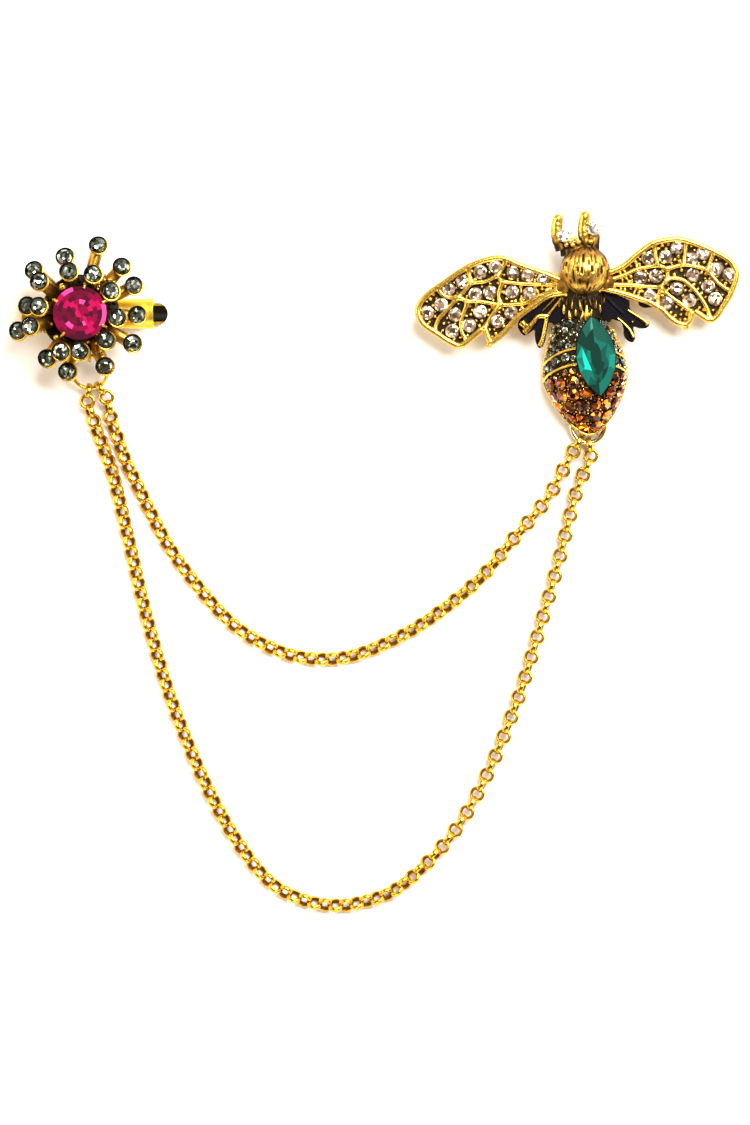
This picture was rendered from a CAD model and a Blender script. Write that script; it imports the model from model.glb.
# %% [markdown]
# # A lapel chain: a jewelled bee, a jewelled flower and two fine chains
#
# The bee is a cast brooch set with small foil-backed stones. The flower sits on a spring clip and ends in
# stalked cups, each with one stone. Two belcher chains, a long one and a short one, hang between them from
# a jump ring at each end. Everything lies flat on a pale surface.
#
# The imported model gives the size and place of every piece. What is right there only gets its finish here,
# and what needs more detail than a machined solid has is built again, in the same place.

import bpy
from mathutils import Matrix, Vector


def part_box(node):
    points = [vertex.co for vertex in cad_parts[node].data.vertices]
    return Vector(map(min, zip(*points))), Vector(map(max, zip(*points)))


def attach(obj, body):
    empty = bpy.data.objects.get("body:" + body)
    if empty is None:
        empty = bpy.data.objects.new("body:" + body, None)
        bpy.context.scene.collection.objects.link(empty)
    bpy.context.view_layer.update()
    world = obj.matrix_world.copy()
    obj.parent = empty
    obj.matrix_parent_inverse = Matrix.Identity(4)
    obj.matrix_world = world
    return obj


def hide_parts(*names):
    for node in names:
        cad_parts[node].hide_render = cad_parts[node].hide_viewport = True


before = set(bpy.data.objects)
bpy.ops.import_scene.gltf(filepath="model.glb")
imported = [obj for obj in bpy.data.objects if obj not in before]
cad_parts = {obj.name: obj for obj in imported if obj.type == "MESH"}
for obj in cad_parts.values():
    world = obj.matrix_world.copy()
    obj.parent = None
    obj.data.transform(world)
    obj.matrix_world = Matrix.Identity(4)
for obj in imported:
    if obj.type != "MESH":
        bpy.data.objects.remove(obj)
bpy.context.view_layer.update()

# %% Modules and units
import math
import random
from functools import partial

import bpy
import numpy as np
from mathutils import Vector

MM = 0.001
dice = random.Random(11)
print("lengths are in metres, and MM is", MM)

# %% [markdown]
# ## Helpers for shapes
#
# A shape is a pair: an array of points and a list of faces. Plain functions that make and join such pairs
# are the easiest way to build many small things in code, because one mesh is made from them at the end.
# Blender's own add-mesh operators would work too, but they make one object at a time.

# %% Joining shapes and turning them into a piece


def joined(shapes):
    """One shape from several."""
    points, faces, start = [], [], 0
    for p, f in shapes:
        points.append(np.asarray(p, float))
        faces += [[i + start for i in face] for face in f]
        start += len(p)
    return np.vstack(points), faces


def new_mesh(name, shape, smooth):
    """A mesh from a shape."""
    points, faces = shape
    mesh = bpy.data.meshes.new(name)
    mesh.from_pydata(np.asarray(points).tolist(), [], [list(map(int, face)) for face in faces])
    mesh.polygons.foreach_set("use_smooth", [smooth] * len(mesh.polygons))
    mesh.update()
    return mesh


def mark(mesh, name, values):
    """Stores a number or a vector for each point, for a material to read."""
    values = np.asarray(values, np.float32)
    kind, field = ("FLOAT", "value") if values.ndim == 1 else ("FLOAT_VECTOR", "vector")
    mesh.attributes.new(name, kind, "POINT").data.foreach_set(field, values.ravel())


def new_object(name, data):
    """An object in the scene."""
    made = bpy.data.objects.new(name, data)
    bpy.context.scene.collection.objects.link(made)
    return made


def new_piece(name, mesh, material, replaces=()):
    """An object that rides on the fixed body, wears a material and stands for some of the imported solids."""
    piece = new_object(name, mesh)
    mesh.materials.append(material)
    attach(piece, "root")
    if replaces:
        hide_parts(*replaces)
    triangles = sum(len(p.vertices) - 2 for p in mesh.polygons)
    print(f"{name}: {triangles} triangles")
    return piece


print("helpers for pieces: joined, new_mesh, mark, new_piece")

# %% Rings of points, bars and beads


def skin(rings, closed=False):
    """A shape over equal rings of points. An open row of rings gets a face at each end."""
    n, rows = len(rings[0]), len(rings)
    faces = [
        [a * n + k, a * n + (k + 1) % n, b * n + (k + 1) % n, b * n + k]
        for a, b in ((j, (j + 1) % rows) for j in range(rows if closed else rows - 1))
        for k in range(n)
    ]
    if not closed:
        faces += [list(range(n))[::-1], list(range((rows - 1) * n, rows * n))]
    return np.vstack(rings), faces


def unit(v):
    """A vector of length one."""
    return np.asarray(v, float) / np.linalg.norm(v)


def turns_of(count):
    """Equal turns round a circle, in radians."""
    return np.arange(count) * 2 * math.pi / count


def bar(path, radii, sides=10):
    """A round bar along a path, with one radius or with its own at each point."""
    path = np.asarray(path, float)
    ahead = np.gradient(path, axis=0)
    side = np.cross(ahead[0], [0.3, 0.2, 1.0])
    turns = turns_of(sides)
    rings = []
    for at, way, r in zip(path, ahead, np.broadcast_to(radii, len(path))):
        way = unit(way)
        side = unit(side - way * (side @ way))
        up = np.cross(way, side)
        rings.append([at + r * (math.cos(t) * side + math.sin(t) * up) for t in turns])
    return skin(rings)


def bead(at, r, sides=12):
    """A small ball."""
    turns = turns_of(sides)
    rings = []
    for height in np.linspace(-0.97, 0.97, 7):
        out = math.sqrt(1 - height * height)
        rings.append([at + r * np.array([out * math.cos(t), out * math.sin(t), height]) for t in turns])
    return skin(rings)


def turned(profile, at, sides=64):
    """A closed profile of (radius, height) in mm, turned round the upright axis."""
    rings = []
    for t in turns_of(sides):
        rings.append([at + np.array([r * math.cos(t), r * math.sin(t), z]) * MM for r, z in profile])
    points, faces = skin(rings, closed=True)
    return points, [face[::-1] for face in faces]


def eyelet(at, radius=0.75 * MM, wire=0.25 * MM):
    """An upright ring of round wire that faces to the side."""
    rings = []
    for t in turns_of(40):
        out = np.array([0.0, math.cos(t), math.sin(t)])
        sideways = np.array([1.0, 0.0, 0.0])
        rings.append([
            at + out * radius + wire * (math.cos(s) * out + math.sin(s) * sideways) for s in turns_of(12)])
    return skin(rings, closed=True)


def prism(outline, low, high):
    """A plate with a flat outline, between two heights, which may differ from point to point."""
    n = len(outline)
    points = np.vstack([np.column_stack([outline, np.broadcast_to(z, n)]) for z in (low, high)])
    faces = [[k, (k + 1) % n, n + (k + 1) % n, n + k] for k in range(n)]
    return points, faces + [list(range(n))[::-1], list(range(n, 2 * n))]


def curve(points, steps=6):
    """A smooth line through a few points."""
    p = [np.asarray(q, float) for q in points]
    p = [p[0], *p, p[-1]]
    line = []
    for a, b, c, d in zip(p, p[1:], p[2:], p[3:]):
        for k in range(steps):
            t = k / steps
            bend = (2 * a - 5 * b + 4 * c - d) * t**2 + (3 * b - a - 3 * c + d) * t**3
            line.append(0.5 * (2 * b + (c - a) * t + bend))
    return np.array(line + [p[-2]])


print("a bead has", len(bead(np.zeros(3), 1.0)[1]), "faces")

# %% [markdown]
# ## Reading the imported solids
#
# A chain or a field of stones is one node that holds many loose solids. Each link and each stone is found
# here as a group of corners that its triangles join. Its middle and its axis then come from the spread of
# those corners, so that the detailed link or stone lands exactly where the solid is.

# %% Corners, triangles and loose solids of a node


def node_mesh(node):
    """Corners and triangles of a node, with the corners at one place joined."""
    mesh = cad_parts[node].data
    points = np.empty(len(mesh.vertices) * 3, np.float32)
    mesh.vertices.foreach_get("co", points)
    corners = np.empty(len(mesh.loops), np.int32)
    mesh.loops.foreach_get("vertex_index", corners)
    points = points.reshape(-1, 3).astype(float)
    # Corners in the same cube of a micrometre count as one: their three numbers make one key
    grid = np.round(points / (0.001 * MM)).astype(np.int64) + (1 << 19)
    key = (grid[:, 0] << 40) + (grid[:, 1] << 20) + grid[:, 2]
    _, first, where = np.unique(key, return_index=True, return_inverse=True)
    return points[first], where.ravel()[corners].reshape(-1, 3)


def loose_solids(node):
    """The corners of each loose solid of a node."""
    points, faces = node_mesh(node)
    group = np.arange(len(points))
    while True:
        lowest = group[faces].min(axis=1)
        new = group.copy()
        for corner in range(3):
            np.minimum.at(new, faces[:, corner], lowest)
        new = new[new]
        if (new == group).all():
            break
        group = new
    order = np.argsort(group, kind="stable")
    cuts = np.flatnonzero(np.diff(group[order])) + 1
    return [points[part] for part in np.split(order, cuts)]


def solids_of(nodes):
    """The loose solids of several nodes."""
    return [solid for node in nodes for solid in loose_solids(node)]


def lie(points):
    """Middle and axes of a flat round solid: two in its plane and the third along its axis, pointing up."""
    middle = points.mean(axis=0)
    _, axes = np.linalg.eigh(np.cov((points - middle).T))
    axis = axes[:, 0] * (1 if axes[2, 0] >= 0 else -1)
    long = axes[:, 2]
    along = (points - middle) @ axis
    return middle + axis * (along.min() + along.max()) / 2, long, np.cross(axis, long), axis


print("the short chain has", len(loose_solids("inner_chain")), "loose links")

# %% [markdown]
# ## Antique gold
#
# The bee and the flower are plated in bright yellow gold, then blackened and polished again, so that dark
# patina stays in the recesses and the ridges shine. Two things make that look: a mask that knows what is
# deep and what is raised, and a mix of three colours, polished gold, amber and patina. The mask is a number
# stored on each point of the mesh, called recess. A painted texture would need an image, and a dirt pass
# that depends on the renderer would be lost when the model is exported.
#
# Every gold here shares the mix, so it is a node group with named inputs, and each material sets its own.

# %% Small helpers for shader nodes


def feed(tree, node, inputs):
    """Sets the inputs of a node. Each gets a plain value or the socket that feeds it."""
    for key, value in inputs.items():
        if isinstance(value, bpy.types.NodeSocket):
            tree.links.new(value, node.inputs[key])
        else:
            node.inputs[key].default_value = value


def add(tree, kind, inputs=None, **settings):
    """Adds a node and sets its inputs."""
    made = tree.nodes.new(kind)
    for key, value in settings.items():
        setattr(made, key, value)
    feed(tree, made, inputs or {})
    return made


def math_node(tree, operation, *values, clamp=False):
    """The result of a sum on one, two or three values."""
    inputs = dict(enumerate(values))
    return add(tree, "ShaderNodeMath", inputs, operation=operation, use_clamp=clamp).outputs[0]


def mixed(tree, share, first, second):
    """A colour between two others."""
    return add(tree, "ShaderNodeMix", {0: share, 6: first, 7: second}, data_type="RGBA").outputs[2]


def shade_at(tree, share, shades, steps=False):
    """A colour from a row of [share, shade], picked in steps or blended."""
    ramp = add(tree, "ShaderNodeValToRGB", {"Fac": share})
    ramp.color_ramp.interpolation = "CONSTANT" if steps else "LINEAR"
    stops = ramp.color_ramp.elements
    while len(stops) < len(shades):
        stops.new(0.5)
    for i, (position, shade) in enumerate(shades):
        stops[i].position = position
        stops[i].color = (*shade, 1)
    return ramp.outputs["Color"]


def new_group(name, inputs, outputs):
    """A shader node group with named sockets, its input node and its output node."""
    tree = bpy.data.node_groups.new(name, "ShaderNodeTree")
    kinds = {"color": "NodeSocketColor", "float": "NodeSocketFloat", "vector": "NodeSocketVector"}
    for way, sockets in (("INPUT", inputs), ("OUTPUT", outputs)):
        for title, kind in sockets.items():
            tree.interface.new_socket(title, in_out=way, socket_type=kinds[kind])
    return tree, tree.nodes.new("NodeGroupInput"), tree.nodes.new("NodeGroupOutput")


def new_material(name):
    """A material, its node tree and its shader."""
    material = bpy.data.materials.new(name)
    material.use_nodes = True
    return material, material.node_tree, material.node_tree.nodes["Principled BSDF"]


print("helpers for shaders: feed, add, math_node, mixed, shade_at, new_group, new_material")

# %% The aged gold group


def aged_gold_group():
    """Polished gold on the ridges and patina in the recesses, with fine cast grain."""
    tree, given, made = new_group(
        "aged_gold",
        {"Polished": "color", "Amber": "color", "Patina": "color", "Recess": "float", "Wear": "float",
         "Grain": "float", "Satin": "float"},
        {"Color": "color", "Roughness": "float", "Height": "float"})
    calc = partial(math_node, tree)
    place = add(tree, "ShaderNodeTexCoord").outputs["Object"]
    grain = given.outputs["Grain"]
    blotch = {"Vector": place, "Scale": grain, "Detail": 3.0, "Roughness": 0.6}
    blotch = add(tree, "ShaderNodeTexNoise", blotch).outputs[0]
    fine = {"Vector": place, "Scale": calc("MULTIPLY", grain, 5.0), "Detail": 2.0}
    fine = add(tree, "ShaderNodeTexNoise", fine).outputs[0]
    # Blotches move the depth up and down. The first half of it turns gold to amber, the second to patina
    depth = calc("ADD", given.outputs["Recess"], calc("MULTIPLY", calc("SUBTRACT", blotch, 0.5), 0.55))
    tarnish = calc("MULTIPLY", depth, given.outputs["Wear"], clamp=True)
    to_amber = calc("MULTIPLY", tarnish, 2.0, clamp=True)
    to_patina = calc("MULTIPLY_ADD", tarnish, 2.0, -1.0, clamp=True)
    blend = mixed(tree, to_amber, given.outputs["Polished"], given.outputs["Amber"])
    blend = mixed(tree, to_patina, blend, given.outputs["Patina"])
    tone = calc("ADD", calc("MULTIPLY", fine, 0.3), 0.85)
    colour = {"Color": blend, "Value": tone, "Saturation": 1.0, "Fac": 1.0}
    colour = add(tree, "ShaderNodeHueSaturation", colour).outputs[0]
    rough = calc("ADD", calc("MULTIPLY", tarnish, 0.3), calc("MULTIPLY", fine, 0.25))
    feed(tree, made, {
        "Color": colour,
        "Roughness": calc("ADD", rough, given.outputs["Satin"]),
        "Height": calc("ADD", fine, calc("MULTIPLY", blotch, 1.5))})
    return tree


aged_gold = aged_gold_group()
print("its inputs:", [s.name for s in aged_gold.interface.items_tree if s.in_out == "INPUT"])

# %% A gold material


def gold_material(name, polished, amber, patina, wear, grain, bump, satin=0.05, metallic=1.0, recess=None):
    """A gold that reads the recess mark of its piece, or works it out with the function recess."""
    material, tree, shader = new_material(name)
    if recess is None:
        deep = add(tree, "ShaderNodeAttribute", attribute_name="recess").outputs["Fac"]
    else:
        deep = recess(tree)
    metal = add(tree, "ShaderNodeGroup", {
        "Polished": (*polished, 1), "Amber": (*amber, 1), "Patina": (*patina, 1), "Recess": deep,
        "Wear": wear, "Grain": grain, "Satin": satin}, node_tree=aged_gold)
    height = {"Strength": bump, "Distance": 0.05 * MM, "Height": metal.outputs["Height"]}
    feed(tree, shader, {
        "Metallic": metallic,
        "Base Color": metal.outputs["Color"],
        "Roughness": metal.outputs["Roughness"],
        "Normal": add(tree, "ShaderNodeBump", height).outputs[0]})
    print(f"gold {name}: wear {wear}, grain {grain} per metre")
    return material


# The lever's hollow lies under this height
TROUGH_TOP = 1.15 * MM


def inside_trough(tree):
    """The mark for the lower lever: its hollow upper side is in shade and stays dark."""
    normal = add(tree, "ShaderNodeNewGeometry").outputs["Normal"]
    up = add(tree, "ShaderNodeSeparateXYZ", {0: normal}).outputs[2]
    place = add(tree, "ShaderNodeTexCoord").outputs["Object"]
    height = add(tree, "ShaderNodeSeparateXYZ", {0: place}).outputs[2]
    low = math_node(tree, "LESS_THAN", height, TROUGH_TOP)
    return math_node(tree, "MULTIPLY", math_node(tree, "GREATER_THAN", up, 0.05), low)


# %% The golds of this jewel

AMBER = (0.25, 0.115, 0.016)
antique_gold = gold_material(
    "antique_gold", (0.77, 0.485, 0.085), AMBER, (0.019, 0.013, 0.007), wear=1.3, grain=800.0, bump=0.16,
    satin=0.12, metallic=0.93)
plate_gold = gold_material(
    "plate_gold", (0.74, 0.45, 0.08), AMBER, (0.0065, 0.006, 0.0075), wear=1.35, grain=800.0, bump=0.3,
    satin=0.10)
flower_gold = gold_material(
    "flower_gold", (0.74, 0.47, 0.07), (0.28, 0.13, 0.02), (0.016, 0.011, 0.008), wear=1.3, grain=600.0,
    bump=0.35, satin=0.12, metallic=0.93)
chain_gold = gold_material(
    "chain_gold", (0.73, 0.45, 0.048), (0.40, 0.17, 0.009), (0.15, 0.060, 0.005), wear=1.1, grain=400.0,
    bump=0.1, satin=0.08)
clip_gold = gold_material(
    "clip_gold", (0.90, 0.62, 0.06), AMBER, (0.10, 0.05, 0.01), wear=0.25, grain=250.0, bump=0.04,
    satin=0.2, metallic=0.9)
lever_gold = gold_material(
    "lever_gold", (0.76, 0.51, 0.05), AMBER, (0.010, 0.008, 0.006), wear=1.5, grain=250.0, bump=0.08,
    satin=0.12, metallic=0.93, recess=inside_trough)
pale_gold = gold_material(
    "pale_gold", (0.72, 0.60, 0.27), (0.34, 0.23, 0.07), (0.12, 0.08, 0.03), wear=0.95, grain=300.0,
    bump=0.05)

# %% [markdown]
# ## Foil-backed stones
#
# The stones are cut glass with a mirror of foil behind them. What the eye sees through the top is that
# mirror, broken into facets that each catch another part of the room. True glass over a mirror would give
# it, at the price of a slow and noisy render. Here the body of the stone is a tinted mirror whose normal is
# tilted facet by facet, under a clear coat that carries the gloss of the cut top.
#
# Each point of a stone stores where it is in its stone, from -1 to 1 both ways, and the stone's own number.
# A node group turns that into sectors and rings, as the facets of a pavilion lie, and gives each its tilt.

# %% The foil facets group


def foil_facets_group():
    """The tilted normal and the brightness of each facet of the foiled back."""
    tree, given, made = new_group(
        "foil_facets",
        {"Place": "vector", "Sectors": "float", "Rings": "float", "Tilt": "float", "Crown": "float"},
        {"Normal": "vector", "Glint": "float"})
    calc = partial(math_node, tree)
    u, v, number = add(tree, "ShaderNodeSeparateXYZ", {0: given.outputs["Place"]}).outputs
    out = calc("SQRT", calc("ADD", calc("MULTIPLY", u, u), calc("MULTIPLY", v, v)))
    ring = calc("FLOOR", calc("MULTIPLY", out, given.outputs["Rings"]))
    turn = calc("MULTIPLY", calc("ARCTAN2", v, u), 1 / (2 * math.pi))
    turn = calc("MULTIPLY", turn, given.outputs["Sectors"])
    turn = calc("ADD", turn, calc("MULTIPLY", ring, 0.5))
    # The middle ring is one facet, as the table shows it
    sector = calc("MULTIPLY", calc("FLOOR", turn), calc("GREATER_THAN", ring, 0.5))
    # Blending over a face changes the number's last digits, so it is rounded before it picks a chance
    whole = calc("FLOOR", calc("ADD", calc("MULTIPLY", number, 10.0), 0.5))
    cell = add(tree, "ShaderNodeCombineXYZ", {0: sector, 1: ring, 2: whole}).outputs[0]
    chance = add(tree, "ShaderNodeTexWhiteNoise", {"Vector": cell}, noise_dimensions="3D")

    def arrow(operation, inputs):
        """The result of a sum on arrows."""
        return add(tree, "ShaderNodeVectorMath", inputs, operation=operation).outputs[0]

    lean = arrow("SUBTRACT", {0: chance.outputs["Color"], 1: (0.5, 0.5, 0.5)})
    lean = arrow("SCALE", {0: lean, "Scale": given.outputs["Tilt"]})
    # A large stone shows more of its foil than of its cut top, so that top counts less there
    cut = add(tree, "ShaderNodeNewGeometry").outputs["Normal"]
    top = {0: given.outputs["Crown"], 4: (0.0, 0.0, 1.0), 5: cut}
    top = add(tree, "ShaderNodeMix", top, data_type="VECTOR").outputs[1]
    tilted = arrow("NORMALIZE", {0: arrow("ADD", {0: top, 1: lean})})
    feed(tree, made, {"Normal": tilted, "Glint": chance.outputs["Value"]})
    return tree


foil_facets = foil_facets_group()
print("its inputs:", [s.name for s in foil_facets.interface.items_tree if s.in_out == "INPUT"])

# %% A stone material

# On a lit stone, chance gives this share of a facet's brightness, and its light mark the rest
CHANCE_SHARE = 0.45


def stone_material(
        name, shades, sectors, rings, tilt, metallic=0.9, coat=0.12, crown=1.0, gloss=0.5, lit=False):
    """A foil-backed stone: its shades go from the darkest facet to the brightest.

    A lit stone has a mark of its own, called light, that says which facets catch the lamp.
    """
    material, tree, shader = new_material(name)
    place = add(tree, "ShaderNodeAttribute", attribute_name="cut").outputs["Vector"]
    facets = add(tree, "ShaderNodeGroup", {
        "Place": place, "Sectors": sectors, "Rings": rings, "Tilt": tilt, "Crown": crown},
        node_tree=foil_facets)
    glint = facets.outputs["Glint"]
    if lit:
        light = add(tree, "ShaderNodeAttribute", attribute_name="light").outputs["Fac"]
        glint = math_node(tree, "ADD", math_node(tree, "MULTIPLY", glint, CHANCE_SHARE), light)
    feed(tree, shader, {
        "Metallic": metallic, "Roughness": 0.07, "Specular IOR Level": gloss, "Coat Weight": coat,
        "Coat Roughness": 0.02, "Normal": facets.outputs["Normal"],
        "Base Color": shade_at(tree, glint, shades, steps=True)})
    print(f"stone {name}: {len(shades)} shades")
    return material


# %% The stones of this jewel

# Each shade comes after the share of the facets, from 0 to 1, at which it starts
clear_stone = stone_material(
    "clear_stone",
    [(0.0, (0.13, 0.085, 0.050)), (0.22, (0.28, 0.19, 0.12)), (0.48, (0.52, 0.385, 0.265)),
     (0.82, (0.96, 0.85, 0.71))],
    sectors=8.0, rings=2.6, tilt=0.75, metallic=0.7, coat=0.06)
eye_stone = stone_material(
    "eye_stone",
    [(0.0, (0.20, 0.18, 0.17)), (0.22, (0.52, 0.50, 0.49)), (0.5, (0.95, 0.94, 0.94))],
    sectors=8.0, rings=2.6, tilt=0.9, metallic=0.6, coat=0.1)
orange_stone = stone_material(
    "orange_stone",
    [(0.0, (0.030, 0.007, 0.003)), (0.27, (0.12, 0.023, 0.005)), (0.52, (0.33, 0.070, 0.006)),
     (0.76, (0.85, 0.26, 0.010)), (0.95, (1.0, 0.78, 0.45))],
    sectors=6.0, rings=2.1, tilt=1.0, metallic=0.9)
smoke_stone = stone_material(
    "smoke_stone",
    [(0.0, (0.016, 0.019, 0.014)), (0.3, (0.055, 0.067, 0.050)), (0.58, (0.145, 0.17, 0.13)),
     (0.8, (0.40, 0.45, 0.36)), (0.93, (1.0, 1.0, 0.95))],
    sectors=8.0, rings=3.1, tilt=1.1, metallic=0.85)
chip_stone = stone_material(
    "chip_stone",
    [(0.0, (0.018, 0.024, 0.016)), (0.28, (0.09, 0.12, 0.085)), (0.6, (0.29, 0.35, 0.255)),
     (0.82, (1.0, 1.0, 0.88))],
    sectors=6.0, rings=2.1, tilt=1.1, metallic=0.8)
green_stone = stone_material(
    "green_stone",
    [(0.0, (0.010, 0.050, 0.036)), (0.17, (0.012, 0.105, 0.076)), (0.38, (0.014, 0.19, 0.142)),
     (0.58, (0.018, 0.34, 0.26)), (0.82, (0.02, 0.80, 0.64))],
    sectors=8.0, rings=2.9, tilt=0.2, metallic=0.5, coat=0.02, crown=0.05, gloss=0.3, lit=True)
pink_stone = stone_material(
    "pink_stone",
    [(0.0, (0.10, 0.012, 0.032)), (0.22, (0.19, 0.010, 0.038)), (0.5, (0.34, 0.009, 0.058)),
     (0.77, (0.66, 0.010, 0.115)), (0.95, (1.0, 0.10, 0.42))],
    sectors=13.0, rings=6.0, tilt=0.2, metallic=0.5, coat=0.0, crown=0.08, gloss=0.2)

# %% [markdown]
# ## The chains
#
# Both are belcher chains: round links of a band, wide across and thin through, bright on the outside and
# darker inside. Each link stands at about a right angle to the next. A loop turns the band's section round
# the ring of each packed link. An array along a curve would work too, but it would not keep each link's own
# roll.

# %% One link of rounded band

LINK_ROUND, LINK_SECTION = 30, 12
BAND_HALF, WALL_HALF = 0.43 * MM, 0.275 * MM


def filled_out(wave, power):
    """A sine or cosine whose curve is made squarer by a power below one."""
    return np.sign(wave) * np.abs(wave) ** power


def link_shape(middle, long, across, axis, radius):
    """A ring of band that stays above the surface, and its recess marks."""
    turns = turns_of(LINK_SECTION)
    r = radius - WALL_HALF + WALL_HALF * filled_out(np.cos(turns), 0.75)
    z = BAND_HALF * filled_out(np.sin(turns), 0.7)
    rings = []
    for turn in turns_of(LINK_ROUND):
        out = math.cos(turn) * long + math.sin(turn) * across
        ring = middle + r[:, None] * out + z[:, None] * axis
        ring[:, 2] = np.maximum(ring[:, 2], 0)
        rings.append(ring)
    inner = np.clip(-np.cos(turns) * 1.4, 0, 1)
    return skin(rings, closed=True), np.tile(inner, LINK_ROUND)


# %% Both chains


def chain(name):
    """All the links of a packed chain, as one mesh."""
    links = [(*lie(solid), np.ptp(solid @ lie(solid)[1]) / 2) for solid in loose_solids(name)]
    made = [link_shape(*link) for link in links]
    mesh = new_mesh(name + "_links", joined([shape for shape, _ in made]), smooth=True)
    mark(mesh, "recess", np.concatenate([marks for _, marks in made]))
    print(f"{name}: {len(links)} links, {2 * links[0][4] / MM:.2f} mm across")
    return new_piece(name + "_links", mesh, chain_gold, [name])


chain("outer_chain")
chain("inner_chain")

# %% [markdown]
# ## Cut stones
#
# A brilliant cut has a flat table, and round it three rows of facets: stars, kites and girdle facets. The
# corners of each row are worked out from the number of sides, so that one function cuts every stone here.
# A long outline turns the same cut into a marquise.

# %% A brilliant cut


def brilliant(sides, table, crown, depth, girdle=0.05):
    """Points and faces of a cut stone of radius one, with its girdle's middle at height 0."""
    half = math.pi / sides
    middle_r = (1 + table) / 2 * 1.02
    middle_z = crown + (middle_r * math.cos(half) - table) * (girdle - crown) / (1 - table)

    def ring(count, r, z, start=0.0):
        turns = start + turns_of(count)
        return np.column_stack([r * np.cos(turns), r * np.sin(turns), np.full(count, z)])

    n = sides
    rows = [ring(n, table, crown), ring(n, middle_r, middle_z, half)]
    rows += [ring(2 * n, 1, girdle), ring(2 * n, 1, -girdle), ring(2 * n, 0.6, -depth)]
    points = np.vstack(rows)
    t, m, g, low, base = 0, n, 2 * n, 4 * n, 6 * n
    faces = [[t + k for k in range(n)], [base + k for k in range(2 * n - 1, -1, -1)]]
    for k in range(n):
        after, before, edge = (k + 1) % n, (k - 1) % n, g + 2 * k
        following = g + (2 * k + 2) % (2 * n)
        faces += [[t + k, m + k, t + after], [t + k, m + before, edge, m + k]]
        faces += [[m + k, edge, edge + 1], [m + k, edge + 1, following]]
    for k in range(2 * n):
        after = (k + 1) % (2 * n)
        faces += [[g + k, low + k, low + after, g + after], [low + k, base + k, base + after, low + after]]
    return points, faces


def girdle_of(points):
    """Middle of a stone's girdle, its axes and its radius."""
    middle, long, across, axis = lie(points)
    flat = points - middle - np.outer((points - middle) @ axis, axis)
    reach = np.linalg.norm(flat, axis=1)
    widest = points[reach > 0.97 * reach.max()]
    return widest.mean(axis=0), long, across, axis, reach.max()


def cut_stones(name, stones, cut, material, replaces=()):
    """A piece of cut stones: for each its middle, radius, axis, the way its cut faces and its number."""
    cut_points, cut_faces = cut
    shapes, marks = [], []
    for middle, radius, axis, facing, number in stones:
        axes = np.array([facing, np.cross(axis, facing), axis])
        shapes.append((middle + radius * cut_points @ axes, cut_faces))
        marks.append(np.column_stack([cut_points[:, :2], np.full(len(cut_points), number)]))
    mesh = new_mesh(name, joined(shapes), smooth=False)
    mark(mesh, "cut", np.vstack(marks))
    print(f"{name}: {len(stones)} stones")
    return new_piece(name, mesh, material, replaces)


def set_stones(name, nodes, cut, material, spread=1.0):
    """A stone for each loose solid of some nodes. A spread above 1 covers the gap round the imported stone."""
    stones = []
    for solid in solids_of(nodes):
        middle, long, across, axis, radius = girdle_of(solid)
        spin = dice.uniform(0, 2 * math.pi)
        facing = math.cos(spin) * long + math.sin(spin) * across
        stones.append((middle, radius * spread, axis, facing, dice.uniform(0, 90)))
    return cut_stones(name, stones, cut, material, nodes)


# %% The small round stones

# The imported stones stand 0.08 mm clear of their seats, and the real ones are pressed in
SEAT_COVER, WING_COVER, EYE_COVER = 1.1, 1.16, 1.12
small_cut = brilliant(8, table=0.52, crown=0.33, depth=0.36)
petal_cut = brilliant(8, table=0.55, crown=0.42, depth=0.42)
eye_nodes = ["eye_stone_left", "eye_stone_right"]
petal_nodes = [f"petal_stone_{i}" for i in range(1, 23)]
set_stones("left_wing_brilliants", ["left_wing_stones"], small_cut, clear_stone, WING_COVER)
set_stones("right_wing_brilliants", ["right_wing_stones"], small_cut, clear_stone, WING_COVER)
set_stones("eye_brilliants", eye_nodes, small_cut, eye_stone, EYE_COVER)
set_stones("orange_brilliants", ["orange_stones"], small_cut, orange_stone, SEAT_COVER)
set_stones("smoke_brilliants", ["smoke_stones"], small_cut, smoke_stone)
set_stones("petal_brilliants", petal_nodes, petal_cut, smoke_stone)

# %% The large round stone

centre_cut = brilliant(12, table=0.58, crown=0.29, depth=0.35)
set_stones("centre_brilliant", ["centre_stone"], centre_cut, pink_stone)

# %% The marquise

# Where it catches the lamp: [along it, across it, strength], from -1 to 1 both ways
LIT_FACETS = [
    (0.30, -0.60, 0.9), (0.10, -0.80, 0.45), (0.0, 0.42, 0.30), (0.1, 0.85, 0.2), (-0.5, -0.3, -0.15),
    (0.6, 0.15, 0.1)]
# How far such a light reaches, along the stone and across it
LIT_ALONG, LIT_ACROSS = 0.22, 0.3
MARQUISE_CROWN, MARQUISE_GIRDLE = 0.9 * MM, 0.05 * MM


def arc_edge(along, half, wide):
    """Half the width of an outline of two arcs, at a place along it from its middle."""
    arc = (half**2 + wide**2) / (2 * wide)
    return np.sqrt(arc**2 - along**2) - arc + wide


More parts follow.
